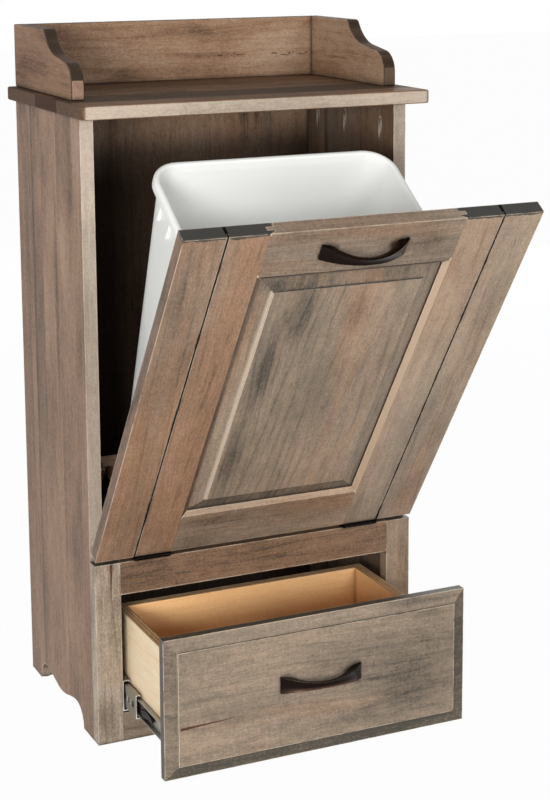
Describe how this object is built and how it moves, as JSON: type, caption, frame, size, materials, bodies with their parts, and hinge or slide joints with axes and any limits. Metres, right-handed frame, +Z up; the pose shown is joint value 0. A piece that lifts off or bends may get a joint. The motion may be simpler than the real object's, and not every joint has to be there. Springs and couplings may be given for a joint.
{
  "type": "tilt-out waste bin cabinet",
  "caption": "Free-standing wooden cabinet with a tilt-out door that carries a waste bin, a drawer on slides below and a low gallery round its top.",
  "frame": {"origin": "on the floor in the middle of the cabinet's footprint, between the side panels and halfway from the face frame's front to the back", "axes": "+Z up, -Y out of the front, +X to the right as seen from the front"},
  "size_m": [0.5206, 0.6648, 0.9991],
  "materials": {
    "stained_wood": "satin grey-brown stain on maple",
    "drawer_wood": "clear satin on pale maple",
    "plywood": "laminated edges, clear",
    "bronze": "dark oil-rubbed bronze",
    "zinc": "bright zinc plate",
    "bin_plastic": "white moulded plastic",
    "black_plastic": "black moulded plastic"
  },
  "bodies": {
    "cabinet": {"side_panel_left": "stained_wood", "side_panel_right": "stained_wood", "back_panel": "stained_wood", "rear_bottom_rail": "stained_wood", "top_board": "stained_wood", "gallery_back": "stained_wood", "gallery_left": "stained_wood", "gallery_right": "stained_wood", "frame_stile_left": "stained_wood", "frame_stile_right": "stained_wood", "frame_rail_middle": "stained_wood", "frame_rail_bottom": "stained_wood", "bay_floor": "stained_wood", "slide_block_left": "stained_wood", "slide_block_right": "stained_wood", "slide_outer_left": "zinc", "slide_outer_right": "zinc", "slide_screws_cabinet": "zinc", "tilt_stop_left": "stained_wood", "tilt_stop_right": "stained_wood", "tilt_stop_screws": "zinc", "pocket_screws": "zinc", "hinge_leaves_frame": "bronze", "hinge_pins": "bronze", "hinge_screws_frame": "bronze", "foot_glides": "black_plastic"},
    "door": {"door_stile_left": "stained_wood", "door_stile_right": "stained_wood", "door_rail_top": "stained_wood", "door_rail_bottom": "stained_wood", "door_panel": "stained_wood", "door_pull": "bronze", "door_pull_screws": "zinc", "hinge_leaves_door": "bronze", "hinge_screws_door": "bronze", "carrier_base": "stained_wood", "carrier_back_rail": "stained_wood", "bracket_left_outer_ply": "plywood", "bracket_left_inner_ply": "plywood", "bracket_right_outer_ply": "plywood", "bracket_right_inner_ply": "plywood", "carrier_screws": "zinc"},
    "bin": {"trash_bin": "bin_plastic"},
    "drawer": {"drawer_front": "stained_wood", "drawer_box_front": "drawer_wood", "drawer_box_back": "drawer_wood", "drawer_side_left": "drawer_wood", "drawer_side_right": "drawer_wood", "drawer_bottom": "drawer_wood", "drawer_pull": "bronze", "drawer_pull_screws": "zinc", "slide_inner_left": "zinc", "slide_inner_right": "zinc", "slide_screws_drawer": "zinc"},
    "left_middle_slide": {"slide_middle_left": "zinc", "slide_balls_left": "black_plastic"},
    "right_middle_slide": {"slide_middle_right": "zinc", "slide_balls_right": "black_plastic"}
  },
  "joints": [
    {"name": "door_tilt", "type": "hinge", "parent": "cabinet", "child": "door", "pos_m": [0, -0.15802, 0.2692], "axis": [1, 0, 0], "range_deg": [-34.5, 0]},
    {"name": "drawer_slide", "type": "slide", "parent": "cabinet", "child": "drawer", "axis": [0, -1, 0], "range_m": [-0.186, 0.067]},
    {"name": "left_middle_travel", "type": "slide", "parent": "cabinet", "child": "left_middle_slide", "axis": [0, -1, 0], "range_m": [-0.093, 0.0335]},
    {"name": "right_middle_travel", "type": "slide", "parent": "cabinet", "child": "right_middle_slide", "axis": [0, -1, 0], "range_m": [-0.093, 0.0335]},
    {"name": "bin_lift", "type": "slide", "parent": "door", "child": "bin", "axis": [0, -0.5664, 0.8241], "range_m": [0, 0.12]}
  ],
  "couplings": [
    {"joint": "left_middle_travel", "follows": "drawer_slide", "ratio": 0.5},
    {"joint": "right_middle_travel", "follows": "drawer_slide", "ratio": 0.5}
  ]
}
